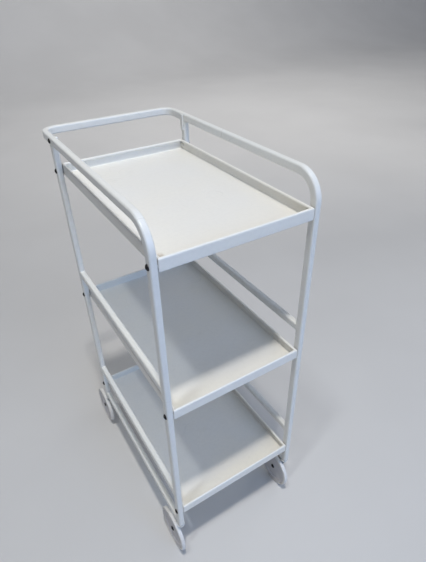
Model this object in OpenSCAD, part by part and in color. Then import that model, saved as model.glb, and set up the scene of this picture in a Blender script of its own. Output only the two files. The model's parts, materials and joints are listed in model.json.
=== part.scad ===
// Three-tier spa trolley on four swivel castors, in millimetres.
// +Z is up, +Y points to the push rail, and the origin is on the floor
// under the middle of the whole trolley.

/* [Overall] */
// Height of the push rail's top face above the floor
height = 904; // [860:2:960]
// Width over the outer faces of the legs
width = 324; // [300:2:380]
// Length from the front face of the near legs to the end of the push rail
length = 548; // [500:2:620]
// Reach of the push rail past the rear face of the far legs
overhang = 76; // [66:2:110]

/* [Tube frame] */
// Width of the tube section, across the trolley
tube_w = 13; // [12:0.5:16]
// Depth of the tube section, fore and aft on the legs and upright on the rails
tube_d = 17; // [15:0.5:20]
// Corner radius of the tube section
tube_r = 3.6; // [2.6:0.2:4.4]
// Wall thickness of the tube
tube_wall = 1.2; // [1:0.1:1.6]
// Outer radius of the bend from each near leg into the push rail
near_bend_r = 55; // [40:1:70]
// Outer radius of the two far corners of the push rail
far_bend_r = 36; // [28:1:50]
// Height of the lower ends of the legs above the floor
leg_z = 121; // [120:1:130]

/* [Trays] */
// Height of the top tray's rim above the floor
top_rim_z = 844; // [800:2:850]
// Distance from one tray to the next
tray_pitch = 327.5; // [300:0.5:335]
// Height of a tray from its underside to its rim
tray_h = 24; // [24:1:30]
// Sheet thickness of the trays
sheet = 1.2; // [1:0.1:1.6]
// Diameter of the rolled rim
rim_d = 6; // [5:0.5:6]
// Outer radius of the bend between floor and wall
tray_bend_r = 3; // [2.5:0.5:4]
// Distance of the trays' ends from the outer faces of the legs
tray_inset = 1; // [0:0.5:1.5]
// Thickness of the spacers between leg and tray
spacer_t = 1; // [0.5:0.5:3]
// Height of the guard rails' top face above the rim beside them
guard_rise = 60; // [45:1:80]

/* [Castors] */
// Diameter over the tyre
wheel_d = 108; // [90:2:108]
// Width of the tyre
wheel_w = 9.5; // [8:0.5:12]
// Radial thickness of the tyre
tyre_t = 7; // [5:0.5:9]
// Trail of the wheel behind the swivel axis
trail = 30; // [22:1:36]
// Diameter of the hub
hub_d = 34; // [28:1:40]
// Diameter of the axle bolt
axle_d = 8; // [6:0.5:8]
// Diameter of the swivel stem
stem_d = 7; // [6:0.5:7]

/* [Hidden] */

$fn = 64;
steel_white = [0.93, 0.93, 0.90];
tray_white = [0.95, 0.95, 0.92];
nylon_white = [0.88, 0.88, 0.85];
tyre_grey = [0.80, 0.79, 0.77];
fixing_black = [0.08, 0.08, 0.09];
zinc = [0.72, 0.73, 0.74];

// running clearance of a pin in its bore, on the diameter
run_fit = 0.1;
// clearance of a bolt or a plug in its hole, on the diameter
free_fit = 0.2;

// bolts of the trays and the push rail, and the closed nuts welded into the trays
bolt_d = 6;
head_d = 11;
head_t = 3;
nut_d = 10;
nut_t = 2.8;
nut_depth = 2;
rail_bolt_depth = 3;

// leg centre lines, measured from the middle of the frame and its near face
leg_x = width / 2 - tube_w / 2;
near_y = tube_d / 2;
far_y = length - overhang - tube_d / 2;
corners = [[-leg_x, near_y], [leg_x, near_y], [-leg_x, far_y], [leg_x, far_y]];

// tray levels, given by their rims
rims = [top_rim_z, top_rim_z - tray_pitch, top_rim_z - 2 * tray_pitch];
tray_w = width - 2 * tube_w - 2 * spacer_t;
tray_l = length - overhang - 2 * tray_inset;
bolt_drop = 13;

// castor, with the swivel axis at its own origin
arm_t = 3;
crown_d = 18;
crown_t = 3;
washer_t = 2;
flange_t = 2;
crown_z = leg_z - flange_t - washer_t;
wheel_r = wheel_d / 2;
hub_in = 5.25;
hub_out = 2.5;
arm_x = -1.75;
wheel_x = arm_x - 0.5 - hub_in;
axle_head_t = 2.5;
axle_head_d = 12;
axle_nut_t = 5;
axle_z = wheel_r;
boss_r = 11;

// the trolley is centred over everything that sticks out of it
reach_left = leg_x - wheel_x + max(hub_out + 0.3 + axle_head_t, wheel_w / 2);
reach_right = width / 2 + head_t;
shift_x = (reach_left - reach_right) / 2;
front_y = min(0, near_y + trail - wheel_r);
rear_y = max(length, far_y + trail + wheel_r);
shift_y = -(front_y + rear_y) / 2;

module placed() {
    translate([shift_x, shift_y, 0]) children();
}

// ---------- tube ----------

module rounded(w, d, r) {
    square([w - 2 * r, d], center = true);
    square([w, d - 2 * r], center = true);
    for (sx = [-1, 1], sy = [-1, 1]) {
        translate([sx * (w / 2 - r), sy * (d / 2 - r)]) circle(r = r);
    }
}

// hollow section, tube_w along X and tube_d along Y
module tube_section() {
    difference() {
        rounded(tube_w, tube_d, tube_r);
        rounded(tube_w - 2 * tube_wall, tube_d - 2 * tube_wall, tube_r - tube_wall);
    }
}

module upright_tube(z0, z1) {
    translate([0, 0, z0]) linear_extrude(height = z1 - z0) tube_section();
}

// level tube along +Y from the origin
module long_tube(l) {
    translate([0, l, 0]) rotate([90, 0, 0]) linear_extrude(height = l) tube_section();
}

// level tube along +X from the origin
module cross_tube(l) {
    rotate([90, 0, 90]) linear_extrude(height = l) tube_section();
}

// quarter bend from a near leg into the push rail
module near_bend() {
    radius = near_bend_r - tube_d / 2;
    rotate([90, 0, 90]) rotate([0, 0, 90]) rotate_extrude(angle = 90) {
        translate([radius, 0]) rotate([0, 0, 90]) tube_section();
    }
}

// quarter bend in the level plane, from +X round to +Y
module far_bend() {
    radius = far_bend_r - tube_w / 2;
    rotate_extrude(angle = 90) translate([radius, 0]) tube_section();
}

// hole along X through a tube wall at the given place
module cross_hole(x, y, z, d) {
    translate([x, y, z]) rotate([0, 90, 0]) cylinder(d = d, h = tube_w + 8, center = true);
}

module bent_frame() {
    rail_z = height - tube_d / 2;
    color(steel_white) placed() difference() {
        union() {
            for (s = [-1, 1]) {
                translate([s * leg_x, near_y, 0]) upright_tube(leg_z, height - near_bend_r);
                translate([s * leg_x, near_bend_r, height - near_bend_r]) near_bend();
                translate([s * leg_x, near_bend_r, rail_z]) long_tube(length - far_bend_r - near_bend_r);
            }
            translate([width / 2 - far_bend_r, length - far_bend_r, rail_z]) far_bend();
            translate([far_bend_r - width / 2, length - far_bend_r, rail_z]) rotate([0, 0, 90]) far_bend();
            translate([far_bend_r - width / 2, length - tube_w / 2, rail_z]) cross_tube(width - 2 * far_bend_r);
        }
        for (s = [-1, 1]) {
            for (z = rims) {
                cross_hole(s * leg_x, near_y, z - bolt_drop, bolt_d + free_fit);
            }
            cross_hole(s * leg_x, far_y, rail_z, bolt_d + free_fit);
        }
    }
}

// far leg with the tongue that is bolted to the inside of the push rail
module rear_leg(s) {
    tongue_t = 3.5;
    top = height - tube_d;
    color(steel_white) placed() difference() {
        union() {
            translate([s * leg_x, far_y, 0]) upright_tube(leg_z, top);
            translate([s * (leg_x - tube_w / 2 - tongue_t / 2), far_y, top - 3]) {
                cube([tongue_t, tube_d - 2 * tube_r, 36], center = true);
            }
        }
        for (z = rims) {
            cross_hole(s * leg_x, far_y, z - bolt_drop, bolt_d + free_fit);
        }
        translate([s * (leg_x - tube_w / 2 - rail_bolt_depth), far_y, height - tube_d / 2]) {
            rotate([0, s * 90, 0]) cylinder(d = bolt_d, h = rail_bolt_depth + 1);
        }
    }
}

module rear_leg_left() {
    rear_leg(-1);
}

module rear_leg_right() {
    rear_leg(1);
}

// straight rail between a near leg and a far leg, top face at the given height
module side_rail(s, top) {
    color(steel_white) placed() translate([s * leg_x, tube_d, top - tube_d / 2]) {
        long_tube(far_y - near_y - tube_d);
    }
}

module guard_mid_left() {
    side_rail(-1, rims[1] + guard_rise);
}

module guard_mid_right() {
    side_rail(1, rims[1] + guard_rise);
}

module guard_low_left() {
    side_rail(-1, rims[2] + guard_rise);
}

module guard_low_right() {
    side_rail(1, rims[2] + guard_rise);
}

module base_rail_left() {
    side_rail(-1, leg_z + tube_d);
}

module base_rail_right() {
    side_rail(1, leg_z + tube_d);
}

// ---------- trays ----------

// wall of a tray in section: X is the distance in from its outer face
module wall_section() {
    translate([0, tray_bend_r]) square([sheet, tray_h - tray_bend_r - rim_d / 2]);
    translate([rim_d / 2, tray_h - rim_d / 2]) circle(d = rim_d);
    translate([tray_bend_r, tray_bend_r]) intersection() {
        difference() {
            circle(r = tray_bend_r);
            circle(r = tray_bend_r - sheet);
        }
        translate([-tray_bend_r, -tray_bend_r]) square([tray_bend_r, tray_bend_r]);
    }
    translate([tray_bend_r, 0]) square([1, sheet]);
}

// wall along X with its outer face at Y = 0, cut at 45 degrees where it meets the next one
module mitred_wall(l) {
    reach = rim_d + 2;
    intersection() {
        translate([-l / 2, 0, 0]) rotate([90, 0, 90]) linear_extrude(height = l) wall_section();
        linear_extrude(height = tray_h) {
            polygon([[-l / 2, 0], [l / 2, 0], [l / 2 - reach, reach], [reach - l / 2, reach]]);
        }
    }
}

module tray(rim_z) {
    mid_y = tray_inset + tray_l / 2;
    floor_w = tray_w - 2 * tray_bend_r;
    floor_l = tray_l - 2 * tray_bend_r;
    color(tray_white) placed() translate([0, mid_y, rim_z - tray_h]) difference() {
        union() {
            translate([-floor_w / 2, -floor_l / 2, 0]) cube([floor_w, floor_l, sheet]);
            for (turn = [0, 180]) {
                rotate([0, 0, turn]) {
                    translate([0, -tray_l / 2, 0]) mitred_wall(tray_w);
                    translate([tray_w / 2, 0, 0]) rotate([0, 0, 90]) mitred_wall(tray_l);
                }
            }
        }
        for (c = corners) {
            translate([c[0], c[1] - mid_y, tray_h - bolt_drop]) rotate([0, 90, 0]) {
                cylinder(d = bolt_d + free_fit, h = 2 * tube_w + 16, center = true);
            }
        }
    }
}

module tray_top() {
    tray(rims[0]);
}

module tray_middle() {
    tray(rims[1]);
}

module tray_bottom() {
    tray(rims[2]);
}

// ---------- fixings ----------

// button-head bolt along +X, its head's underside at the origin
module bolt(l) {
    rotate([0, 90, 0]) {
        cylinder(d = bolt_d, h = l);
        intersection() {
            translate([0, 0, -head_t]) cylinder(d = head_d, h = head_t);
            translate([0, 0, 4.4]) sphere(r = 7.4);
        }
    }
}

// closed round nut with its blind bore opening towards -X
module weld_nut() {
    rotate([0, 90, 0]) difference() {
        cylinder(d = nut_d, h = nut_t);
        translate([0, 0, -1]) cylinder(d = bolt_d, h = nut_depth + 1);
    }
}

module hex_nut(af, t, bore) {
    rotate([0, 90, 0]) difference() {
        cylinder(d = af / cos(30), h = t, $fn = 6);
        translate([0, 0, -1]) cylinder(d = bore, h = t + 2);
    }
}

// places its children at the four legs, +X pointing in from the leg's outer face
module at_legs(z) {
    placed() for (c = corners) {
        translate([sign(c[0]) * width / 2, c[1], z]) rotate([0, 0, c[0] < 0 ? 0 : 180]) children();
    }
}

module tray_bolts(z) {
    color(fixing_black) at_legs(z - bolt_drop) bolt(tube_w + spacer_t + sheet + nut_depth);
}

module tray_spacers(z) {
    color(nylon_white) at_legs(z - bolt_drop) translate([tube_w, 0, 0]) rotate([0, 90, 0]) {
        difference() {
            cylinder(d = 12, h = spacer_t);
            translate([0, 0, -1]) cylinder(d = bolt_d + free_fit, h = spacer_t + 2);
        }
    }
}

module tray_nuts(z) {
    color(tray_white) at_legs(z - bolt_drop) translate([tube_w + spacer_t + sheet, 0, 0]) weld_nut();
}

module bolts_top() {
    tray_bolts(rims[0]);
}

module bolts_middle() {
    tray_bolts(rims[1]);
}

module bolts_bottom() {
    tray_bolts(rims[2]);
}

module spacers_top() {
    tray_spacers(rims[0]);
}

module spacers_middle() {
    tray_spacers(rims[1]);
}

module spacers_bottom() {
    tray_spacers(rims[2]);
}

module nuts_top() {
    tray_nuts(rims[0]);
}

module nuts_middle() {
    tray_nuts(rims[1]);
}

module nuts_bottom() {
    tray_nuts(rims[2]);
}

// places its children where the tongues of the far legs meet the push rail
module at_tongues() {
    placed() for (s = [-1, 1]) {
        translate([s * width / 2, far_y, height - tube_d / 2]) rotate([0, 0, s < 0 ? 0 : 180]) children();
    }
}

module rail_bolts() {
    color(fixing_black) at_tongues() bolt(tube_w + rail_bolt_depth);
}

// ---------- castors ----------

module at_corner(i) {
    placed() translate([corners[i][0], corners[i][1], 0]) children();
}

// plug in the end of each leg, with the bore that the stem turns in
module leg_sockets() {
    in_w = tube_w - 2 * tube_wall - free_fit;
    in_d = tube_d - 2 * tube_wall - free_fit;
    color(nylon_white) for (i = [0:3]) {
        at_corner(i) difference() {
            union() {
                translate([0, 0, leg_z]) linear_extrude(height = 26) rounded(in_w, in_d, tube_r - tube_wall);
                translate([0, 0, leg_z - flange_t]) linear_extrude(height = flange_t) {
                    rounded(tube_w, tube_d, tube_r);
                }
            }
            translate([0, 0, leg_z - flange_t - 1]) cylinder(d = stem_d + run_fit, h = 40);
        }
    }
}

module swivel_washers() {
    color(zinc) for (i = [0:3]) {
        at_corner(i) translate([0, 0, leg_z - flange_t - washer_t + 0.3]) difference() {
            cylinder(d = 15, h = washer_t - 0.3);
            translate([0, 0, -1]) cylinder(d = stem_d + run_fit, h = washer_t + 2);
        }
    }
}

// point where the line from p touches the circle round c, on the side given by s
function touch(p, c, r, s) =
    let (d = c - p, l = norm(d), a = atan2(d[1], d[0]) + s * asin(r / l), t = sqrt(l * l - r * r))
    p + t * [cos(a), sin(a)];

// one-sided arm in section, Y to the right and Z up
module arm_outline() {
    axle = [trail, axle_z];
    top = crown_z - crown_t;
    front = [-9, top + 1];
    rear = [9, top + 1];
    shoulder = [24, top - 8];
    polygon([front, rear, shoulder, touch(shoulder, axle, boss_r, 1), axle, touch(front, axle, boss_r, -1)]);
    translate(axle) circle(r = boss_r);
}

module arm(i) {
    color(steel_white) at_corner(i) difference() {
        union() {
            translate([0, 0, crown_z - crown_t]) cylinder(d = crown_d, h = crown_t);
            translate([arm_x, 0, 0]) rotate([90, 0, 90]) linear_extrude(height = arm_t) arm_outline();
        }
        translate([arm_x - 1, trail, axle_z]) rotate([0, 90, 0]) cylinder(d = axle_d + free_fit, h = arm_t + 2);
    }
}

module stem(i) {
    color(zinc) at_corner(i) translate([0, 0, crown_z]) {
        cylinder(d = stem_d, h = 22);
        translate([0, 0, 22]) cylinder(d1 = stem_d, d2 = stem_d - 2, h = 1.5);
    }
}

module axle(i) {
    color(fixing_black) at_corner(i) translate([wheel_x - hub_out - 0.3, trail, axle_z]) rotate([0, 90, 0]) {
        translate([0, 0, -axle_head_t]) cylinder(d = axle_head_d, h = axle_head_t);
        cylinder(d = axle_d, h = arm_x + arm_t + axle_nut_t + 1.5 - wheel_x + hub_out + 0.3);
    }
}

module axle_nut(i) {
    color(zinc) at_corner(i) translate([arm_x + arm_t, trail, axle_z]) hex_nut(13, axle_nut_t, axle_d);
}

// half-section of the moulded wheel: X is the radius, Y the distance along the axle
module wheel_section() {
    rim_out = wheel_r - tyre_t;
    rim_in = rim_out - 6;
    bore_r = (axle_d + run_fit) / 2;
    half = wheel_w / 2 - 0.75;
    translate([bore_r, -hub_in]) square([hub_d / 4 - bore_r, hub_in + hub_out]);
    translate([bore_r, -hub_in]) square([hub_d / 2 - bore_r, hub_in + hub_out - 1.6]);
    translate([hub_d / 2 - 1, -1.5]) square([rim_in - hub_d / 2 + 2, 3]);
    translate([rim_in, -half]) square([rim_out - rim_in, 2 * half]);
}

module wheel(i) {
    color(nylon_white) at_corner(i) translate([wheel_x, trail, axle_z]) rotate([0, -90, 0]) {
        rotate_extrude($fn = 128) wheel_section();
    }
}

module tyre(i) {
    edge = 2.4;
    color(tyre_grey) at_corner(i) translate([wheel_x, trail, axle_z]) rotate([0, -90, 0]) {
        rotate_extrude($fn = 128) translate([wheel_r - tyre_t / 2, 0]) {
            translate([-tyre_t / 2, -wheel_w / 2]) square([tyre_t / 2, wheel_w]);
            rounded(tyre_t, wheel_w, edge);
        }
    }
}

module arm_nl() {
    arm(0);
}

module arm_nr() {
    arm(1);
}

module arm_fl() {
    arm(2);
}

module arm_fr() {
    arm(3);
}

module stem_nl() {
    stem(0);
}

module stem_nr() {
    stem(1);
}

module stem_fl() {
    stem(2);
}

module stem_fr() {
    stem(3);
}

module axle_nl() {
    axle(0);
}

module axle_nr() {
    axle(1);
}

module axle_fl() {
    axle(2);
}

module axle_fr() {
    axle(3);
}

module axle_nut_nl() {
    axle_nut(0);
}

module axle_nut_nr() {
    axle_nut(1);
}

module axle_nut_fl() {
    axle_nut(2);
}

module axle_nut_fr() {
    axle_nut(3);
}

module wheel_nl() {
    wheel(0);
}

module wheel_nr() {
    wheel(1);
}

module wheel_fl() {
    wheel(2);
}

module wheel_fr() {
    wheel(3);
}

module tyre_nl() {
    tyre(0);
}

module tyre_nr() {
    tyre(1);
}

module tyre_fl() {
    tyre(2);
}

module tyre_fr() {
    tyre(3);
}

bent_frame();
rear_leg_left();
rear_leg_right();
guard_mid_left();
guard_mid_right();
guard_low_left();
guard_low_right();
base_rail_left();
base_rail_right();
tray_top();
tray_middle();
tray_bottom();
bolts_top();
bolts_middle();
bolts_bottom();
spacers_top();
spacers_middle();
spacers_bottom();
nuts_top();
nuts_middle();
nuts_bottom();
rail_bolts();
leg_sockets();
swivel_washers();
arm_nl();
arm_nr();
arm_fl();
arm_fr();
stem_nl();
stem_nr();
stem_fl();
stem_fr();
axle_nl();
axle_nr();
axle_fl();
axle_fr();
axle_nut_nl();
axle_nut_nr();
axle_nut_fl();
axle_nut_fr();
wheel_nl();
wheel_nr();
wheel_fl();
wheel_fr();
tyre_nl();
tyre_nr();
tyre_fl();
tyre_fr();
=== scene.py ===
"""Looks for a three-tier spa trolley: tube frame, pressed trays, fixings and one-sided castors."""

import json
import math

import bmesh
import bpy
from mathutils import Matrix, Vector, noise


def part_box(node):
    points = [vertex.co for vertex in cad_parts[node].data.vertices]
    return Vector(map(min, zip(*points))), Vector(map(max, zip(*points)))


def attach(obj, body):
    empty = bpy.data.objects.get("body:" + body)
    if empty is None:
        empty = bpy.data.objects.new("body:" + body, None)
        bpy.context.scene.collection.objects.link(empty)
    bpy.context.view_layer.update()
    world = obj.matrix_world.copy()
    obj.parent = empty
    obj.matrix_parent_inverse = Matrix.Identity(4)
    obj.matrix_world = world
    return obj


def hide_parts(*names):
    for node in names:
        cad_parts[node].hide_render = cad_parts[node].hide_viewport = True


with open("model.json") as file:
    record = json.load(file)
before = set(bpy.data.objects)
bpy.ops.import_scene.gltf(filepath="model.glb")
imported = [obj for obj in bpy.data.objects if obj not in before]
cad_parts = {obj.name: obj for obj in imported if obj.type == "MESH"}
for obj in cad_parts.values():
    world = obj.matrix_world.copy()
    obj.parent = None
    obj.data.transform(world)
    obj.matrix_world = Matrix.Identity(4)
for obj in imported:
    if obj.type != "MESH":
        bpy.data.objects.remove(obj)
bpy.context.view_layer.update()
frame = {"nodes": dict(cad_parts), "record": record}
nodes = frame["nodes"]

MM = 0.001
CORNERS = ("nl", "nr", "fl", "fr")
X, Y, Z = Vector((1, 0, 0)), Vector((0, 1, 0)), Vector((0, 0, 1))

# points closer than the first are one point, and edges shorter than the second are dropped
MERGE_DIST = 1e-6
THIN_DIST = 1e-7


# ---------- places, read from the frame ----------

joints = {j["name"]: j for j in frame["record"]["behaviour"]["joints"]}
swivels = {c: Vector(joints["swivel_" + c]["pos_m"]) for c in CORNERS}
axles = {c: Vector(joints["roll_" + c]["pos_m"]) for c in CORNERS}

bent_lo, bent_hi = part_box("bent_frame")
TUBE_W = 13 * MM
TUBE_D = 17 * MM
TUBE_R = 3.6 * MM
NEAR_BEND = 55 * MM
FAR_BEND = 36 * MM
MID_X = (bent_lo[0] + bent_hi[0]) / 2
LEG_X = (bent_hi[0] - bent_lo[0]) / 2 - TUBE_W / 2
NEAR_Y = bent_lo[1] + TUBE_D / 2
FAR_Y = swivels["fl"].y
LEG_Z = bent_lo[2]
RAIL_TOP = bent_hi[2]
RAIL_Z = RAIL_TOP - TUBE_D / 2


# ---------- mesh building ----------


class Shape:
    """Vertices and faces gathered from rings, then turned into one object."""

    def __init__(self):
        self.verts = []
        self.faces = []

    def ring(self, points):
        start = len(self.verts)
        self.verts += [Vector(p) for p in points]
        return list(range(start, len(self.verts)))

    def bridge(self, a, b, closed=True):
        n = len(a)
        for i in range(n if closed else n - 1):
            j = (i + 1) % n
            self.faces.append((a[i], a[j], b[j], b[i]))

    def cap(self, ring):
        self.faces.append(tuple(ring))

    def rings(self, rows):
        """Joins rows of points in turn, and closes both ends."""
        made = [self.ring(r) for r in rows]
        for a, b in zip(made, made[1:]):
            self.bridge(a, b)
        self.cap(made[0])
        self.cap(made[-1])

    def loop(self, rows):
        """Joins rows of points in turn, and the last to the first."""
        made = [self.ring(r) for r in rows]
        for a, b in zip(made, made[1:] + made[:1]):
            self.bridge(a, b)

    def object(self, name, material, sharp_deg=40, weighted=True):
        mesh = bpy.data.meshes.new(name)
        mesh.from_pydata([tuple(v) for v in self.verts], [], self.faces)
        bm = bmesh.new()
        bm.from_mesh(mesh)
        bmesh.ops.remove_doubles(bm, verts=bm.verts, dist=MERGE_DIST)
        bmesh.ops.dissolve_degenerate(bm, edges=bm.edges, dist=THIN_DIST)
        bmesh.ops.recalc_face_normals(bm, faces=bm.faces)
        for f in bm.faces:
            f.smooth = True
        for e in bm.edges:
            if len(e.link_faces) == 2 and e.calc_face_angle() > math.radians(sharp_deg):
                e.smooth = False
        bm.to_mesh(mesh)
        bm.free()
        mesh.materials.append(material)
        obj = bpy.data.objects.new(name, mesh)
        bpy.context.scene.collection.objects.link(obj)
        if weighted:
            mod = obj.modifiers.new("even shading", "WEIGHTED_NORMAL")
            mod.keep_sharp = True
        return obj


def arc(centre, radius, start_deg, end_deg, steps):
    """Points on a circle in a plane, both ends included."""
    out = []
    for i in range(steps + 1):
        a = math.radians(start_deg + (end_deg - start_deg) * i / steps)
        out.append((centre[0] + radius * math.cos(a), centre[1] + radius * math.sin(a)))
    return out


def outline(width, depth, radius, inset=0.0, steps=6, support=0.5 * MM):
    """A rounded rectangle, with a point either side of each corner to keep its flats flat."""
    w, d, r = width / 2 - inset, depth / 2 - inset, max(radius - inset, 0.3 * MM)
    out = []
    for sx, sy, start in ((1, 1, 0), (-1, 1, 90), (-1, -1, 180), (1, -1, 270)):
        centre = (sx * (w - r), sy * (d - r))
        turn = arc(centre, r, start, start + 90, steps)
        a, b = math.radians(start), math.radians(start + 90)
        out.append((turn[0][0] + support * math.sin(a), turn[0][1] - support * math.cos(a)))
        out += turn
        out.append((turn[-1][0] - support * math.sin(b), turn[-1][1] + support * math.cos(b)))
    return out


def filleted(points, radius, steps=3):
    """A closed line with its corners rounded by up to radius."""
    out = []
    n = len(points)
    for i in range(n):
        p, q, r = Vector(points[i - 1]), Vector(points[i]), Vector(points[(i + 1) % n])
        a, b = (p - q), (r - q)
        cut = min(radius, a.length * 0.45, b.length * 0.45)
        a, b = a.normalized() * cut, b.normalized() * cut
        for k in range(steps + 1):
            t = k / steps
            out.append(tuple(q + a * (1 - t) ** 2 + b * t**2))
    return out


def lathe(shape, profile, place, segments=64):
    """Turns a profile of (radius, height) about the local Z axis of place."""
    rows = []
    for s in range(segments):
        a = 2 * math.pi * s / segments
        rows.append([place @ Vector((r * math.cos(a), r * math.sin(a), h)) for r, h in profile])
    shape.loop(rows)


def facing(axis, position):
    """A matrix whose local Z axis points along axis."""
    turn = Vector(axis).to_track_quat("Z", "Y").to_matrix().to_4x4()
    return Matrix.Translation(position) @ turn


# ---------- materials ----------


def new_material(name):
    mat = bpy.data.materials.new(name)
    mat.use_nodes = True
    tree = mat.node_tree
    shader = tree.nodes["Principled BSDF"]
    coords = tree.nodes.new("ShaderNodeTexCoord")
    return mat, tree, shader, coords.outputs["Object"]


def node(tree, kind, **values):
    made = tree.nodes.new(kind)
    for key, value in values.items():
        if key in made.inputs:
            made.inputs[key].default_value = value
        else:
            setattr(made, key, value)
    return made


def noise_of(tree, coords, scale, detail=3.0, rough=0.5, stretch=None, offset=None):
    """A noise's value. stretch and offset change where it is read."""
    source = coords
    if stretch or offset:
        mapping = node(tree, "ShaderNodeMapping")
        mapping.inputs["Scale"].default_value = stretch or (1, 1, 1)
        mapping.inputs["Location"].default_value = offset or (0, 0, 0)
        tree.links.new(coords, mapping.inputs["Vector"])
        source = mapping.outputs["Vector"]
    tex = node(tree, "ShaderNodeTexNoise", Scale=scale, Detail=detail, Roughness=rough)
    tree.links.new(source, tex.inputs["Vector"])
    return tex.outputs[0]


def ramp(tree, value, low, high, to_low=0.0, to_high=1.0):
    made = node(tree, "ShaderNodeMapRange", clamp=True)
    made.interpolation_type = "SMOOTHSTEP"
    limits = {"From Min": low, "From Max": high, "To Min": to_low, "To Max": to_high}
    for key, number in limits.items():
        made.inputs[key].default_value = number
    tree.links.new(value, made.inputs["Value"])
    return made.outputs["Result"]


def maths(tree, operation, *values, clamp=False):
    """One step of arithmetic on numbers or sockets."""
    made = node(tree, "ShaderNodeMath", operation=operation, use_clamp=clamp)
    for value, socket in zip(values, made.inputs):
        if isinstance(value, (int, float)):
            socket.default_value = value
        else:
            tree.links.new(value, socket)
    return made.outputs[0]


def times(tree, a, b):
    return maths(tree, "MULTIPLY", a, b)


def plus(tree, a, b):
    return maths(tree, "ADD", a, b, clamp=True)


def tint(tree, base, colour, factor):
    """Mixes a colour over base by factor. base is a colour or a socket."""
    made = node(tree, "ShaderNodeMix", data_type="RGBA")
    a, b = made.inputs[6], made.inputs[7]
    if isinstance(base, tuple):
        a.default_value = (*base, 1)
    else:
        tree.links.new(base, a)
    b.default_value = (*colour, 1)
    tree.links.new(factor, made.inputs[0])
    return made.outputs[2]


def bump(tree, height, distance, strength=1.0, under=None):
    made = node(tree, "ShaderNodeBump", Strength=strength, Distance=distance)
    tree.links.new(height, made.inputs["Height"])
    if under is not None:
        tree.links.new(under, made.inputs["Normal"])
    return made.outputs["Normal"]


def crevice_shade_mask(tree, distance):
    """Painted shade from ambient occlusion: 1 in tight corners, 0 on open faces."""
    made = node(tree, "ShaderNodeAmbientOcclusion", Distance=distance, samples=8)
    return ramp(tree, made.outputs["AO"], 0.75, 0.35)


def scratches(tree, coords, scale, width, offset):
    """Thin broken lines, where a noise crosses its middle value."""
    lines = noise_of(tree, coords, scale, detail=1.0, offset=offset)
    away = maths(tree, "ABSOLUTE", maths(tree, "SUBTRACT", lines, 0.5))
    thin = ramp(tree, away, width, 0.0)
    patch = noise_of(tree, coords, scale * 0.7, detail=2.0, offset=(3.1, 1.7, 4.4))
    return times(tree, thin, ramp(tree, patch, 0.56, 0.68))


def enamel(name, base, warm, rub=0.35, stain=None):
    """White powder coat: faint clouds, orange peel, hairline scratches and painted shade in the
    corners.
    """
    mat, tree, shader, coords = new_material(name)
    link = tree.links.new
    cloud = ramp(tree, noise_of(tree, coords, 5.0, detail=4.0), 0.3, 0.7)
    fine = ramp(tree, noise_of(tree, coords, 140.0, detail=2.0), 0.35, 0.75)
    colour = tint(tree, base, warm, times(tree, cloud, 0.55))
    colour = tint(tree, colour, tuple(c * 0.90 for c in base), times(tree, fine, 0.22))
    # painted shade: the coat is darkened where ambient occlusion finds tight corners, such as the
    # tray floor joints
    crevice_shade = crevice_shade_mask(tree, 7 * MM)
    colour = tint(tree, colour, (0.36, 0.34, 0.30), times(tree, crevice_shade, 0.30))
    lines = scratches(tree, coords, 9.0, 0.006, (0.3, 0.9, 0.1))
    hair = scratches(tree, coords, 22.0, 0.010, (1.3, 0.2, 2.1))
    marks = plus(tree, lines, times(tree, hair, 0.7))
    colour = tint(tree, colour, (0.50, 0.49, 0.46), times(tree, marks, rub))
    blots = noise_of(tree, coords, 16.0, detail=5.0, rough=0.6, offset=(7, 2, 5))
    smudge = ramp(tree, blots, 0.60, 0.78)
    colour = tint(tree, colour, (0.62, 0.60, 0.54), times(tree, smudge, 0.16))
    if stain is not None:
        colour = tint(tree, colour, BROWN, stain_mask(tree, coords, *stain))
    link(colour, shader.inputs["Base Color"])
    gloss = plus(tree, times(tree, cloud, 0.07), times(tree, marks, 0.25))
    gloss = plus(tree, gloss, times(tree, smudge, 0.12))
    link(plus(tree, gloss, 0.33), shader.inputs["Roughness"])
    peel = noise_of(tree, coords, 520.0, detail=1.5)
    wave = noise_of(tree, coords, 34.0, detail=1.0)
    normal = bump(tree, wave, 0.25 * MM, 0.25)
    normal = bump(tree, peel, 0.06 * MM, 0.5, normal)
    normal = bump(tree, marks, -0.04 * MM, 0.6, normal)
    link(normal, shader.inputs["Normal"])
    shader.inputs["Specular IOR Level"].default_value = 0.5
    shader.inputs["Coat Weight"].default_value = 0.12
    shader.inputs["Coat Roughness"].default_value = 0.22
    return mat


BROWN = (0.30, 0.20, 0.11)


def stain_mask(tree, coords, centre, radius, strength):
    """A worn, browned patch with a ragged edge."""
    shift = node(tree, "ShaderNodeVectorMath", operation="SUBTRACT")
    shift.inputs[1].default_value = centre
    tree.links.new(coords, shift.inputs[0])
    size = node(tree, "ShaderNodeVectorMath", operation="LENGTH")
    tree.links.new(shift.outputs[0], size.inputs[0])
    ragged = times(tree, noise_of(tree, coords, 90.0, detail=4.0, rough=0.65), radius * 1.4)
    reach = maths(tree, "ADD", size.outputs["Value"], ragged)
    body = ramp(tree, reach, radius * 1.7, radius * 0.9)
    return times(tree, body, strength)


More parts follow.
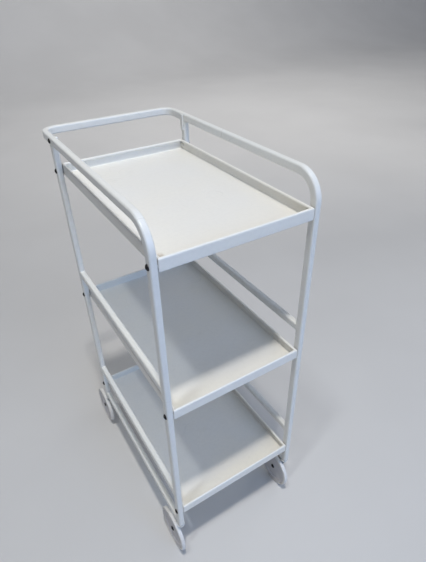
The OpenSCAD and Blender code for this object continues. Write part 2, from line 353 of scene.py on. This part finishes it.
def black_oxide():
    """Blackened steel with bright rubbing on its edges."""
    mat, tree, shader, coords = new_material("black_oxide")
    link = tree.links.new
    mottle = ramp(tree, noise_of(tree, coords, 260.0, detail=4.0), 0.35, 0.7)
    colour = tint(tree, (0.022, 0.023, 0.026), (0.060, 0.055, 0.050), mottle)
    geometry = node(tree, "ShaderNodeNewGeometry")
    edge = ramp(tree, geometry.outputs["Pointiness"], 0.52, 0.62)
    worn = times(tree, edge, ramp(tree, noise_of(tree, coords, 420.0), 0.4, 0.65))
    colour = tint(tree, colour, (0.30, 0.29, 0.28), times(tree, worn, 0.55))
    link(colour, shader.inputs["Base Color"])
    link(plus(tree, times(tree, mottle, 0.18), 0.34), shader.inputs["Roughness"])
    shader.inputs["Metallic"].default_value = 0.75
    link(bump(tree, noise_of(tree, coords, 900.0), 0.03 * MM, 0.5), shader.inputs["Normal"])
    return mat


def zinc():
    """Zinc plating: a mid-grey sheen with faint spangle and drawing marks, and painted shade in
    tight corners.
    """
    mat, tree, shader, coords = new_material("zinc_plate")
    link = tree.links.new
    cells = node(tree, "ShaderNodeTexVoronoi", Scale=210.0)
    link(coords, cells.inputs["Vector"])
    spangle = ramp(tree, cells.outputs["Distance"], 0.0, 0.7)
    drawn = noise_of(tree, coords, 30.0, detail=3.0, stretch=(1, 1, 26))
    colour = tint(tree, (0.50, 0.51, 0.52), (0.66, 0.66, 0.64), spangle)
    dull = ramp(tree, noise_of(tree, coords, 42.0, detail=5.0), 0.48, 0.72)
    colour = tint(tree, colour, (0.36, 0.35, 0.33), times(tree, dull, 0.5))
    # painted shade: the plating is darkened in tight corners found by ambient occlusion
    crevice_shade = crevice_shade_mask(tree, 4 * MM)
    colour = tint(tree, colour, (0.10, 0.09, 0.08), times(tree, crevice_shade, 0.45))
    link(colour, shader.inputs["Base Color"])
    shader.inputs["Metallic"].default_value = 0.9
    rough = plus(tree, times(tree, drawn, 0.2), times(tree, dull, 0.15))
    link(plus(tree, rough, 0.25), shader.inputs["Roughness"])
    link(bump(tree, drawn, 0.03 * MM, 0.4), shader.inputs["Normal"])
    return mat


def moulded(name, base, dirt, rough, grain, speck=0.0):
    """Moulded plastic or rubber with a fine grain, floor dirt worked into it, and painted shade in
    tight corners.
    """
    mat, tree, shader, coords = new_material(name)
    link = tree.links.new
    cloud = ramp(tree, noise_of(tree, coords, 24.0, detail=5.0, rough=0.6), 0.42, 0.75)
    fine = ramp(tree, noise_of(tree, coords, 420.0, detail=3.0), 0.45, 0.75)
    colour = tint(tree, base, dirt, times(tree, cloud, 0.30))
    colour = tint(tree, colour, dirt, times(tree, fine, 0.12 + speck))
    # painted shade: a darkened dirt colour laid into tight corners found by ambient occlusion
    crevice_shade = crevice_shade_mask(tree, 5 * MM)
    colour = tint(tree, colour, tuple(c * 0.4 for c in dirt), times(tree, crevice_shade, 0.5))
    link(colour, shader.inputs["Base Color"])
    link(plus(tree, times(tree, cloud, 0.15), rough), shader.inputs["Roughness"])
    skin = bump(tree, noise_of(tree, coords, 640.0, detail=2.0), grain, 0.6)
    link(skin, shader.inputs["Normal"])
    return mat


def floor_material():
    mat, tree, shader, coords = new_material("floor")
    cloud = ramp(tree, noise_of(tree, coords, 1.3, detail=3.0), 0.3, 0.7)
    colour = tint(tree, (0.64, 0.63, 0.61), (0.67, 0.66, 0.64), cloud)
    tree.links.new(colour, shader.inputs["Base Color"])
    shader.inputs["Roughness"].default_value = 0.7
    return mat


top_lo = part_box("tray_top")[0]
STAIN_AT = (top_lo[0] + 22 * MM, top_lo[1] + 40 * MM, top_lo[2] + 1 * MM)
STAIN = (STAIN_AT, 10 * MM, 0.45)
TRAY_COLOURS = ((0.84, 0.83, 0.79), (0.86, 0.83, 0.74))

FRAME_WHITE = enamel("frame_enamel", (0.80, 0.81, 0.79), (0.84, 0.82, 0.76))
TRAY_WHITE = enamel("tray_enamel", *TRAY_COLOURS, rub=0.12)
TOP_WHITE = enamel("top_tray_enamel", *TRAY_COLOURS, rub=0.15, stain=STAIN)
BLACK = black_oxide()
ZINC = zinc()
NYLON = moulded("wheel_nylon", (0.60, 0.59, 0.61), (0.36, 0.33, 0.33), 0.38, 0.03 * MM)
TREAD = moulded(
    "tread_rubber", (0.80, 0.79, 0.77), (0.42, 0.38, 0.34), 0.62, 0.10 * MM, speck=0.15
)
PLUG = moulded("plug_nylon", (0.74, 0.74, 0.72), (0.44, 0.42, 0.38), 0.42, 0.03 * MM)


def settle(obj, body, replaced):
    """Fixes a piece to its body, and hides the CAD node that it stands for."""
    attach(obj, body)
    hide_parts(replaced)


# ---------- tubes ----------

# a tube's cut end: height, and how far its face is drawn in, both in mm
SOFT_END = ((0.0, 0.9), (0.25, 0.35), (0.9, 0.0))
BEAD_R = 1.05 * MM
BEAD_IN = 0.55 * MM
TONGUE_HALF_W = 4.9 * MM
TONGUE_DOWN = 21 * MM
TONGUE_UP = 15 * MM
# the tongue's depth in mm at each ring, and how much it shrinks there
TONGUE_RINGS = ((0.0, 1.0), (2.9, 1.0), (3.3, 0.97), (3.5, 0.92))


def stand(p, u, v, inset=0.0):
    """A cross-section of tube at p, with u across its width and v across its depth."""
    return [p + u * a + v * b for a, b in outline(TUBE_W, TUBE_D, TUBE_R, inset)]


def relief(a):
    """How far a tube's face falls back at distance a from its middle, at a rounded corner."""
    over = abs(a) - (TUBE_W / 2 - TUBE_R)
    if over <= 0:
        return 0.0
    return TUBE_R - math.sqrt(max(TUBE_R**2 - over**2, 0.0))


def push_frame():
    """One tube: up the left leg, round the loop of the push rail and down the right leg."""
    half = []
    x = -LEG_X
    for rise, inset in SOFT_END:
        half.append((Vector((x, NEAR_Y, LEG_Z + rise * MM)), -X, -Y, inset * MM))
    bend_y = bent_lo[1] + NEAR_BEND
    bend_z = RAIL_TOP - NEAR_BEND
    radius = NEAR_BEND - TUBE_D / 2
    for i in range(1, 12):
        half.append((Vector((x, NEAR_Y, LEG_Z + (bend_z - LEG_Z) * i / 12)), -X, -Y, 0))
    for i in range(29):
        a = math.radians(180 - 90 * i / 28)
        out = Vector((0, math.cos(a), math.sin(a)))
        half.append((Vector((x, bend_y, bend_z)) + out * radius, -X, out, 0))
    corner_y = bent_hi[1] - FAR_BEND
    for i in range(1, 10):
        half.append((Vector((x, bend_y + (corner_y - bend_y) * i / 10, RAIL_Z)), -X, Z, 0))
    radius = FAR_BEND - TUBE_W / 2
    for i in range(25):
        a = math.radians(180 - 90 * i / 24)
        out = Vector((math.cos(a), math.sin(a), 0))
        centre = Vector((FAR_BEND - TUBE_W / 2 - LEG_X, corner_y, RAIL_Z))
        half.append((centre + out * radius, out, Z, 0))
    rows = [stand(p + X * MID_X, u, v, inset) for p, u, v, inset in half]
    span = half[-1][0]
    rows.append(stand(Vector((MID_X, span.y, RAIL_Z)), Y, Z))
    mirrored = []
    for row in reversed(rows[:-1]):
        mirrored.append([Vector((2 * MID_X - p.x, p.y, p.z)) for p in row])
    shape = Shape()
    shape.rings(rows + mirrored)
    return shape.object("push_frame_tube", FRAME_WHITE)


def weld(shape, centre_of, size):
    """A rippled bead round a joint. centre_of gives a place, its outward way and the tube's."""
    count, ripples, sides = 96, 19, 8
    turns = [2 * math.pi * k / sides for k in range(sides)]
    rows = []
    for i in range(count):
        middle, out, along = centre_of(i / count)
        wave = 0.16 * math.sin(2 * math.pi * i / count * ripples)
        r = size * (1 + wave + 0.12 * noise.noise(middle * 400))
        rows.append([middle + out * (r * math.cos(t)) + along * (r * math.sin(t)) for t in turns])
    shape.loop(rows)


def loop_point(t):
    """Place and outward way at fraction t round the tube's outline."""
    points = outline(TUBE_W, TUBE_D, TUBE_R, steps=8)
    lengths = [math.dist(points[i], points[(i + 1) % len(points)]) for i in range(len(points))]
    left = t * sum(lengths)
    for i, step in enumerate(lengths):
        if left <= step or i == len(lengths) - 1:
            a, b = Vector(points[i]), Vector(points[(i + 1) % len(points)])
            way = (b - a).normalized()
            return a + way * left, Vector((way.y, -way.x))
        left -= step


def side_tube(name, node_name):
    """A straight rail, coped to the rounded legs at both ends and welded to them."""
    lo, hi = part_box(node_name)
    x, z = (lo[0] + hi[0]) / 2, (lo[2] + hi[2]) / 2
    shape = Shape()
    rows = []
    section = outline(TUBE_W, TUBE_D, TUBE_R)
    rows.append([Vector((x + a, lo[1] - relief(a), z + b)) for a, b in section])
    for i in range(9):
        y = lo[1] + 1 * MM + (hi[1] - lo[1] - 2 * MM) * i / 8
        rows.append([Vector((x + a, y, z + b)) for a, b in section])
    rows.append([Vector((x + a, hi[1] + relief(a), z + b)) for a, b in section])
    shape.rings(rows)
    for y, side in ((lo[1], -1), (hi[1], 1)):

        def place(t, y=y, side=side):
            p, out = loop_point(t)
            at = Vector((x + p.x, y + side * relief(p.x), z + p.y))
            out = Vector((out.x, 0, out.y))
            return at - out * BEAD_IN, out, Y

        weld(shape, place, BEAD_R)
    obj = shape.object(name, FRAME_WHITE)
    settle(obj, "frame", node_name)


def rear_leg(name, node_name, side):
    """An upright tube coped under the push rail, with the tongue that is bolted inside the rail."""
    x = MID_X + side * LEG_X
    top = RAIL_TOP - TUBE_D
    shape = Shape()
    rows = []
    for rise, inset in SOFT_END:
        section = outline(TUBE_W, TUBE_D, TUBE_R, inset * MM)
        rows.append([Vector((x + a, FAR_Y + b, LEG_Z + rise * MM)) for a, b in section])
    section = outline(TUBE_W, TUBE_D, TUBE_R)
    for i in range(1, 13):
        z = LEG_Z + (top - 1 * MM - LEG_Z) * i / 12
        rows.append([Vector((x + a, FAR_Y + b, z)) for a, b in section])
    rows.append([Vector((x + a, FAR_Y + b, top + relief(a))) for a, b in section])
    shape.rings(rows)

    def place(t):
        p, out = loop_point(t)
        at = Vector((x + p.x, FAR_Y + p.y, top + relief(p.x)))
        out = Vector((out.x, out.y, 0))
        return at - out * BEAD_IN, out, Z

    weld(shape, place, BEAD_R)
    inner = x - side * TUBE_W / 2
    w, down, up = TONGUE_HALF_W, -TONGUE_DOWN, TONGUE_UP
    plate = filleted([(-w, down), (w, down), (w, up), (-w, up)], 2.4 * MM, 5)
    rows = []
    for depth, shrink in TONGUE_RINGS:
        rows.append([
            Vector((inner - side * depth * MM, FAR_Y + a * shrink, top + b * shrink))
            for a, b in plate
        ])
    shape.rings(rows)
    obj = shape.object(name, FRAME_WHITE)
    settle(obj, "frame", node_name)


settle(push_frame(), "frame", "bent_frame")
for side_name, side_sign in (("left", -1), ("right", 1)):
    rear_leg("rear_leg_tube_" + side_name, "rear_leg_" + side_name, side_sign)
    side_tube("guard_tube_mid_" + side_name, "guard_mid_" + side_name)
    side_tube("guard_tube_low_" + side_name, "guard_low_" + side_name)
    side_tube("base_tube_" + side_name, "base_rail_" + side_name)


# ---------- trays ----------

SHEET = 1.2 * MM
RIM_R = 3.0 * MM
BEND_R = 3.0 * MM
CORNER_R = 2.0 * MM
FLOOR_IN = 7.0 * MM
SAG = 0.45 * MM
SAG_EASE = 0.05


def tray_profile(height):
    """The pressed sheet in section: distance in from the outer face, and height."""
    outer = [(FLOOR_IN, 0)] + arc((BEND_R, BEND_R), BEND_R, 270, 180, 6)
    outer += [(0, BEND_R + 1 * MM), (0, height - RIM_R - 1 * MM)]
    outer += arc((RIM_R, height - RIM_R), RIM_R, 180, -105, 24)
    thin = RIM_R - SHEET
    inner = arc((RIM_R, height - RIM_R), thin, -105, 180, 20)
    inner += [(SHEET, height - RIM_R - 2 * MM), (SHEET, BEND_R + 0.6 * MM)]
    inner += arc((BEND_R, BEND_R), BEND_R - SHEET, 180, 270, 6)
    inner += [(FLOOR_IN, SHEET)]
    return outer + inner


def tray(name, node_name, material, seed):
    """A pan folded from one sheet, with rolled rims that meet at mitred corners."""
    lo, hi = (Vector(v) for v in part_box(node_name))
    mid = (lo + hi) / 2
    half = Vector(((hi.x - lo.x) / 2, (hi.y - lo.y) / 2))
    fx, fy = half.x - FLOOR_IN, half.y - FLOOR_IN
    across, along = 18, 30
    xs = [-fx + 2 * fx * i / across for i in range(across + 1)]
    ys = [-fy + 2 * fy * i / along for i in range(along + 1)]

    def straight(x, y, nx, ny):
        def at(q):
            return (nx * (half.x - q) if nx else x), (ny * (half.y - q) if ny else y)

        return at

    def turned(sx, sy, deg):
        way = (math.cos(math.radians(deg)), math.sin(math.radians(deg)))

        def at(q):
            if q >= CORNER_R:
                return sx * (half.x - q), sy * (half.y - q)
            left = CORNER_R - q
            x, y = sx * (half.x - CORNER_R), sy * (half.y - CORNER_R)
            return x + left * way[0], y + left * way[1]

        return at

    def corner(sx, sy, start):
        return [turned(sx, sy, start + 15 * k) for k in range(7)]

    path = [straight(x, 0, 0, -1) for x in xs] + corner(1, -1, 270)
    path += [straight(0, y, 1, 0) for y in ys] + corner(1, 1, 0)
    path += [straight(x, 0, 0, 1) for x in reversed(xs)] + corner(-1, 1, 90)
    path += [straight(0, y, -1, 0) for y in reversed(ys)] + corner(-1, -1, 180)

    def sag(x, y):
        edge = min(1.0, (fx - abs(x)) / SAG_EASE, (fy - abs(y)) / SAG_EASE)
        swell = noise.noise(Vector((x * 7 + seed, y * 7, seed)))
        return max(edge, 0.0) * (SAG * swell)

    shape = Shape()
    profile = tray_profile(hi.z - lo.z)
    rows = []
    for at in path:
        row = []
        for q, h in profile:
            x, y = at(q)
            row.append(Vector((mid.x + x, mid.y + y, lo.z + h)))
        rows.append(row)
    made = [shape.ring(row) for row in rows]
    for a, b in zip(made, made[1:] + made[:1]):
        shape.bridge(a, b, closed=False)
    for level in (0.0, SHEET):
        grid = []
        for x in xs:
            column = [Vector((mid.x + x, mid.y + y, lo.z + level + sag(x, y))) for y in ys]
            grid.append(shape.ring(column))
        for a, b in zip(grid, grid[1:]):
            shape.bridge(a, b, closed=False)
    obj = shape.object(name, material, sharp_deg=50)
    settle(obj, "frame", node_name)


tray("tray_pan_top", "tray_top", TOP_WHITE, 1.7)
tray("tray_pan_middle", "tray_middle", TRAY_WHITE, 5.3)
tray("tray_pan_bottom", "tray_bottom", TRAY_WHITE, 9.1)


# ---------- fixings ----------

HEAD_R = 5.5 * MM
HEAD_T = 3.0 * MM
HEAD_KEY = 4.0 * MM
BOLT_R = 3.0 * MM
THREAD_PITCH = 1.0 * MM
THREAD_DEPTH = 0.45 * MM
NUT_R = 5.0 * MM
NUT_T = 2.8 * MM
NUT_BORE = 2.0 * MM
# from the leg's outer face to the tray's inner face: tube, spacer and sheet
TRAY_GRIP = TUBE_W + 1 * MM + SHEET
TONGUE_REACH = 3 * MM


def hex_radius(flats, angle):
    """Distance from a hexagon's middle to its edge, in the given direction."""
    sector = (angle + math.pi / 6) % (math.pi / 3) - math.pi / 6
    return flats / 2 / math.cos(sector)


def polar(place, rows, segments):
    """Rings of points about the local Z axis of place, from (radius at angle, height)."""
    angles = [2 * math.pi * k / segments for k in range(segments)]
    made = []
    for radius, height in rows:
        made.append([
            place @ Vector((radius(a) * math.cos(a), radius(a) * math.sin(a), height))
            for a in angles
        ])
    return made


def polar_rows(shape, place, rows, segments=48):
    """Joins rings given as (radius at angle, height), and closes the first and last."""
    shape.rings(polar(place, rows, segments))


def fixed(r):
    return lambda a: r


def button_head(shape, place, radius, height, key):
    """A domed head with a hexagon socket. Local Z points out of the head, from its underside."""
    rows = [(fixed(radius * 0.97), -0.02 * MM), (fixed(radius), 0.25 * MM)]
    for k in range(1, 9):
        a = math.radians(10 + 62 * k / 8)
        dome = radius * (0.06 + 0.94 * math.cos(a) ** 0.8)
        rows.append((fixed(dome), height * math.sin(a) ** 0.9))
    lip = key / 2 * 1.32
    rows.append((fixed(lip), height))
    rows.append((fixed(lip * 0.93), height - 0.12 * MM))
    rows.append((lambda a: hex_radius(key, a), height - 0.35 * MM))
    rows.append((lambda a: hex_radius(key, a) * 0.99, height - 1.7 * MM))
    rows.append((fixed(key * 0.2), height - 2.0 * MM))
    polar_rows(shape, place, rows)


def shank(shape, place, radius, end, thread_from):
    """A bolt's shank along local -Z, threaded towards its end."""
    rows = [(fixed(radius), 0.0), (fixed(radius), -thread_from)]
    at = thread_from
    while at + THREAD_PITCH < end - 0.6 * MM:
        rows.append((fixed(radius), -(at + THREAD_PITCH * 0.15)))
        rows.append((fixed(radius - THREAD_DEPTH), -(at + THREAD_PITCH * 0.5)))
        rows.append((fixed(radius), -(at + THREAD_PITCH * 0.85)))
        at += THREAD_PITCH
    rows.append((fixed(radius - 0.1 * MM), -(end - 0.6 * MM)))
    rows.append((fixed(radius - 0.7 * MM), -end))
    polar_rows(shape, place, rows, 24)


def hex_nut(shape, place, flats, bore, thick):
    """A chamfered nut that starts at its bearing face and grows along local Z."""

    def cut(limit):
        return lambda a: min(hex_radius(flats, a), limit)

    edge = flats / 2
    rows = [
        (fixed(bore), 0.0),
        (fixed(edge * 0.98), 0.0),
        (cut(edge * 1.06), 0.2 * MM),
        (cut(edge * 1.2), 0.5 * MM),
        (cut(edge * 1.2), thick - 0.7 * MM),
        (cut(edge * 1.08), thick - 0.35 * MM),
        (fixed(edge * 0.97), thick),
        (fixed(bore * 1.12), thick),
        (fixed(bore), thick - 0.4 * MM),
    ]
    shape.loop(polar(place, rows, 72))


def fixing_places(node_name):
    """Where each solid of a fixings node crosses its leg, and which way is out."""
    lo, hi = (Vector(v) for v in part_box(node_name))
    out = []
    z = (lo.z + hi.z) / 2
    spans_both_legs = hi.y - lo.y > 100 * MM
    for side in (-1, 1):
        for y in (NEAR_Y, FAR_Y) if spans_both_legs else (FAR_Y,):
            out.append((Vector((MID_X + side * (LEG_X + TUBE_W / 2), y, z)), X * side))
    return out


def bolt_set(name, node_name, grip, length):
    shape = Shape()
    for at, out in fixing_places(node_name):
        button_head(shape, facing(out, at), HEAD_R, HEAD_T, HEAD_KEY)
        shank(shape, facing(out, at), BOLT_R, length, grip)
    settle(shape.object(name, BLACK, sharp_deg=35), "frame", node_name)


def weld_nut(shape, place):
    """A closed round nut with weld round its foot. Local Z points away from the sheet."""
    rows = [(fixed(BOLT_R), NUT_BORE), (fixed(BOLT_R), 0.0)]
    rows += [(lambda a: NUT_R + (0.55 + 0.10 * math.sin(9 * a)) * MM, 0.0)]
    rows += [(fixed(NUT_R), 0.75 * MM), (fixed(NUT_R), NUT_T - 0.6 * MM)]
    rows += [(fixed(NUT_R - 0.18 * MM), NUT_T - 0.18 * MM), (fixed(NUT_R - 0.6 * MM), NUT_T)]
    rows += [(fixed(NUT_R * 0.4), NUT_T)]
    polar_rows(shape, place, rows)


def nut_set(name, node_name, like, grip):
    shape = Shape()
    for at, out in fixing_places(like):
        weld_nut(shape, facing(-out, at - out * grip))
    settle(shape.object(name, TRAY_WHITE, sharp_deg=35), "frame", node_name)


for level in ("top", "middle", "bottom"):
    bolt_set("bolt_set_" + level, "bolts_" + level, TUBE_W, TRAY_GRIP + NUT_BORE)
    nut_set("nut_set_" + level, "nuts_" + level, "bolts_" + level, TRAY_GRIP)
bolt_set("bolt_set_rail", "rail_bolts", TUBE_W, TUBE_W + TONGUE_REACH)


# ---------- castors ----------

WHEEL_R = 54 * MM
TYRE_T = 7 * MM
TYRE_W = 9.5 * MM
TYRE_SIDE = 4.2 * MM
TYRE_ROUND = 2.3 * MM
HUB_OUT = 2.5 * MM
ARM_T = 3 * MM
ARM_OUT = 1.75 * MM
ARM_BOSS_R = 11 * MM
CROWN_R = 9 * MM
CROWN_T = 3 * MM
FOLD_R = 2.2 * MM
FOLD_OVERLAP = 0.4 * MM
AXLE_R = 4 * MM
AXLE_HEAD_R = 6 * MM
AXLE_HEAD_T = 2.5 * MM
AXLE_KEY = 5 * MM
AXLE_GAP = 0.3 * MM
AXLE_NUT_FLATS = 13 * MM
AXLE_NUT_T = 5 * MM
AXLE_NUT_IN = 1.25 * MM


def wheel_profile():
    """The moulded wheel in section: radius, and distance out from its middle plane."""
    points = [
        (4.05, -5.25), (13.8, -5.25), (16.6, -4.3), (17.6, -1.5), (39.3, -1.5), (41.2, -4.0),
        (47.0, -4.0), (47.0, 4.0), (41.2, 4.0), (39.3, 1.5), (17.6, 1.5), (16.8, 1.9),
        (9.6, 1.9), (8.6, 2.5), (4.05, 2.5),
    ]
    return filleted([(r * MM, h * MM) for r, h in points], 0.9 * MM, 4)


def tyre_profile():
    """The tread in section: square against the rim, crowned outside, with a fine moulding line."""
    half = TYRE_W / 2
    inner = WHEEL_R - TYRE_T
    side = [(inner, -half + 0.3 * MM), (inner + 0.3 * MM, -half), (inner + TYRE_SIDE, -half)]
    crown = arc((inner + TYRE_SIDE, -half + TYRE_ROUND), TYRE_ROUND, -90, -10, 8)
    top = [
        (WHEEL_R - 0.25 * MM, -1.6 * MM),
        (WHEEL_R - 0.18 * MM, -0.35 * MM),
        (WHEEL_R, -0.1 * MM),
    ]
    left = side + crown + top
    right = [(r, -h) for r, h in reversed(left)]
    return left + right


def touch(point, centre, radius, sign):
    """Where the line from a point touches a circle."""
    way = centre - point
    length = way.length
    angle = math.atan2(way.y, way.x) + sign * math.asin(radius / length)
    reach = math.sqrt(length**2 - radius**2)
    return point + Vector((math.cos(angle), math.sin(angle))) * reach


def arm_outline(trail, axle_z, top):
    """The arm's plate seen from the side, round its boss and up to the crown."""
    axle = Vector((trail, axle_z))
    boss = ARM_BOSS_R
    front, rear = Vector((-8.4 * MM, top)), Vector((8.4 * MM, top))
    shoulder = Vector((23 * MM, top - 8 * MM))
    a = touch(shoulder, axle, boss, 1)
    b = touch(front, axle, boss, -1)
    start = math.degrees(math.atan2(a.y - axle.y, a.x - axle.x))
    end = math.degrees(math.atan2(b.y - axle.y, b.x - axle.x))
    while end > start:
        end -= 360
    lobe = arc(axle, boss, start, end, 28)
    upper = filleted([tuple(b), tuple(front), tuple(rear), tuple(shoulder), tuple(a)], 3.5 * MM, 6)
    keep = [p for p in upper if p[1] > min(a.y, b.y) + 1e-5]
    ordered = []
    for p in keep:
        if not ordered or math.dist(p, ordered[-1]) > 0.05 * MM:
            ordered.append(p)
    return ordered, lobe


def arm(corner):
    """A pressed arm: plate with softened edges, folded into a round crown."""
    swivel, axle = swivels[corner], axles[corner]
    lo, hi = (Vector(v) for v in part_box("arm_" + corner))
    left = swivel.x - ARM_OUT
    crown_top = hi.z
    trail, axle_z = axle.y - swivel.y, axle.z
    upper, lobe = arm_outline(trail, axle_z, crown_top - FOLD_R)
    loop = upper[1:] + lobe[1:-1]
    middle = Vector((sum(p[0] for p in loop) / len(loop), sum(p[1] for p in loop) / len(loop)))
    shape = Shape()
    rows = []
    for depth, inset in ((0, 0.5), (0.15, 0.15), (0.5, 0), (2.5, 0), (2.85, 0.15), (3.0, 0.5)):
        row = []
        for i, p in enumerate(loop):
            way = Vector(loop[(i + 1) % len(loop)]) - Vector(loop[i - 1])
            normal = Vector((way.y, -way.x)).normalized()
            if normal.dot(Vector(p) - middle) > 0:
                normal = -normal
            q = Vector(p) + normal * inset * MM
            row.append(Vector((left + depth * MM, swivel.y + q.x, q.y)))
        rows.append(row)
    shape.rings(rows)
    corner_z = crown_top - CROWN_T
    middle_r = 0.4 * MM
    crown = filleted([
        (middle_r, corner_z),
        (CROWN_R - 0.9 * MM, corner_z),
        (CROWN_R, corner_z + 0.9 * MM),
        (CROWN_R, crown_top - 0.8 * MM),
        (CROWN_R - 0.8 * MM, crown_top),
        (middle_r, crown_top),
    ], 0.6 * MM)
    lathe(shape, crown, Matrix.Translation((swivel.x, swivel.y, 0)))
    for face, way in ((left, -1), (left + ARM_T, 1)):
        fold = [(face - way * FOLD_OVERLAP, corner_z + FOLD_OVERLAP)]
        for t in range(0, 91, 15):
            a = math.radians(t)
            fold.append((
                face + way * (FOLD_R - FOLD_R * math.cos(a)),
                corner_z - FOLD_R + FOLD_R * math.sin(a),
            ))
        rows = []
        for y in (-6.2, -6.0, 6.0, 6.2):
            ease = 0.85 if abs(y) > 6.1 else 1.0
            rows.append([
                Vector((fold[0][0] + (fx - fold[0][0]) * ease, swivel.y + y * MM,
                        fold[0][1] + (fz - fold[0][1]) * ease)) for fx, fz in fold
            ])
        shape.rings(rows)
    obj = shape.object("arm_plate_" + corner, FRAME_WHITE, sharp_deg=38)
    settle(obj, "castor_" + corner, "arm_" + corner)


def castor(corner):
    """An arm, with a wheel and its tread that roll on the axle bolt."""
    arm(corner)
    swivel, axle = swivels[corner], axles[corner]
    out = facing(-X, axle)

    shape = Shape()
    lathe(shape, wheel_profile(), out, 128)
    obj = shape.object("wheel_disc_" + corner, NYLON, sharp_deg=50)
    settle(obj, "roller_" + corner, "wheel_" + corner)

    shape = Shape()
    lathe(shape, tyre_profile(), out, 160)
    obj = shape.object("tread_" + corner, TREAD, sharp_deg=50)
    settle(obj, "roller_" + corner, "tyre_" + corner)

    head_at = axle - X * (HUB_OUT + AXLE_GAP)
    nut_at = swivel.x + AXLE_NUT_IN
    shape = Shape()
    button_head(shape, facing(-X, head_at), AXLE_HEAD_R, AXLE_HEAD_T, AXLE_KEY)
    grip = nut_at - head_at.x
    end = grip + AXLE_NUT_T + 1.5 * MM
    shank(shape, facing(-X, head_at), AXLE_R, end, grip - 1 * MM)
    obj = shape.object("axle_bolt_" + corner, BLACK, sharp_deg=35)
    settle(obj, "castor_" + corner, "axle_" + corner)

    shape = Shape()
    place = facing(X, Vector((nut_at, axle.y, axle.z)))
    hex_nut(shape, place, AXLE_NUT_FLATS, AXLE_R, AXLE_NUT_T)
    obj = shape.object("lock_nut_" + corner, ZINC, sharp_deg=35)
    settle(obj, "castor_" + corner, "axle_nut_" + corner)


for corner_name in CORNERS:
    castor(corner_name)


# ---------- nodes that keep their own shape ----------


def dress(node_name, material, soften=0.25 * MM):
    """Gives a CAD node its finish, with its edges softened."""
    obj = nodes[node_name]
    obj.data.materials.clear()
    obj.data.materials.append(material)
    bevel = obj.modifiers.new("soft edges", "BEVEL")
    bevel.width = soften
    bevel.segments = 2
    bevel.limit_method = "ANGLE"
    bevel.angle_limit = math.radians(40)


dress("leg_sockets", PLUG)
dress("swivel_washers", ZINC, 0.15 * MM)
for level in ("top", "middle", "bottom"):
    dress("spacers_" + level, PLUG, 0.2 * MM)
for corner_name in CORNERS:
    dress("stem_" + corner_name, ZINC, 0.15 * MM)


# ---------- floor, light and camera ----------


def floor():
    """A plain floor that sweeps up into a far wall."""
    shape = Shape()
    size, back, sweep_r, wall = 80.0, 5.0, 3.0, 40.0
    line = [(y, 0.0) for y in (-size, -12.0, -3.0, -1.0, 1.0, 3.0)]
    line += arc((back, sweep_r), sweep_r, -90, 0, 10)
    line.append((back + sweep_r, sweep_r + wall))
    columns = (-size, -12.0, -3.0, 0.0, 3.0, 12.0, size)
    made = [shape.ring([Vector((x, y, z)) for y, z in line]) for x in columns]
    for a, b in zip(made, made[1:]):
        shape.bridge(a, b, closed=False)
    obj = shape.object("floor", floor_material(), weighted=False)


def area_light(name, place, target, size, power, colour):
    data = bpy.data.lights.new(name, "AREA")
    data.shape = "RECTANGLE"
    data.size, data.size_y = size
    data.energy = power
    data.color = colour
    obj = bpy.data.objects.new(name, data)
    obj.location = place
    way = Vector(target) - Vector(place)
    obj.rotation_euler = way.to_track_quat("-Z", "Y").to_euler()
    obj.visible_camera = False
    bpy.context.scene.collection.objects.link(obj)


def lights():
    """Softboxes overhead, cool daylight in front, right fill, and a sky dimmest on the left."""
    world = bpy.data.worlds.new("studio")
    world.use_nodes = True
    tree = world.node_tree
    background = tree.nodes["Background"]
    background.inputs["Color"].default_value = (0.80, 0.86, 1.0, 1)
    way = tree.nodes.new("ShaderNodeTexCoord")
    split = tree.nodes.new("ShaderNodeSeparateXYZ")
    tree.links.new(way.outputs["Generated"], split.inputs[0])
    sky = ramp(tree, split.outputs["X"], -0.9, 0.7, 0.12, 0.50)
    tree.links.new(sky, background.inputs["Strength"])
    bpy.context.scene.world = world
    bpy.context.scene.view_settings.view_transform = "Standard"
    target = (MID_X, 0, 0.82)
    key, key_left = (MID_X - 0.38, -0.95, 4.35), (MID_X - 1.13, -0.69, 4.29)
    small = (0.24, 0.24)
    warm, pale, blue = (1.0, 0.97, 0.93), (0.90, 0.95, 1.0), (0.30, 0.54, 1.0)
    area_light("overhead", key, target, small, 72, warm)
    area_light("overhead left", key_left, target, small, 24, pale)
    area_light("front", (0.3, -3.4, 1.9), (0, 0, 0.55), (2.2, 1.6), 38, blue)
    area_light("right", (3.2, 0.6, 1.6), (0, 0, 0.5), (1.8, 1.8), 9, warm)
    area_light("backdrop", (2.4, 1.8, 3.6), (3.6, 7.0, 1.5), (4.0, 2.0), 130, (1.0, 0.98, 0.96))


def camera():
    """The viewpoint: yaw clockwise from +Y, pitch down, and a slight roll."""
    yaw, pitch, roll = math.radians(31.42), math.radians(34.67), math.radians(-1.21)
    level = Vector((math.sin(yaw), math.cos(yaw), 0))
    forward = level * math.cos(pitch) - Z * math.sin(pitch)
    right = Vector((math.cos(yaw), -math.sin(yaw), 0))
    up = right.cross(forward)
    level_right = right * math.cos(roll) + up * math.sin(roll)
    level_up = up * math.cos(roll) - right * math.sin(roll)
    data = bpy.data.cameras.new("camera")
    data.sensor_width = 36.0
    data.lens = 28.64
    data.clip_start, data.clip_end = 0.05, 50
    obj = bpy.data.objects.new("camera", data)
    turn = Matrix((level_right, level_up, -forward)).transposed()
    left_of_middle, before_near_face, height = 0.36204, 0.49680, 1.17580
    place = (MID_X - left_of_middle, bent_lo[1] - before_near_face, height)
    obj.matrix_world = Matrix.Translation(place) @ turn.to_4x4()
    bpy.context.scene.collection.objects.link(obj)
    bpy.context.scene.camera = obj


floor()
lights()
camera()

bpy.context.view_layer.update()
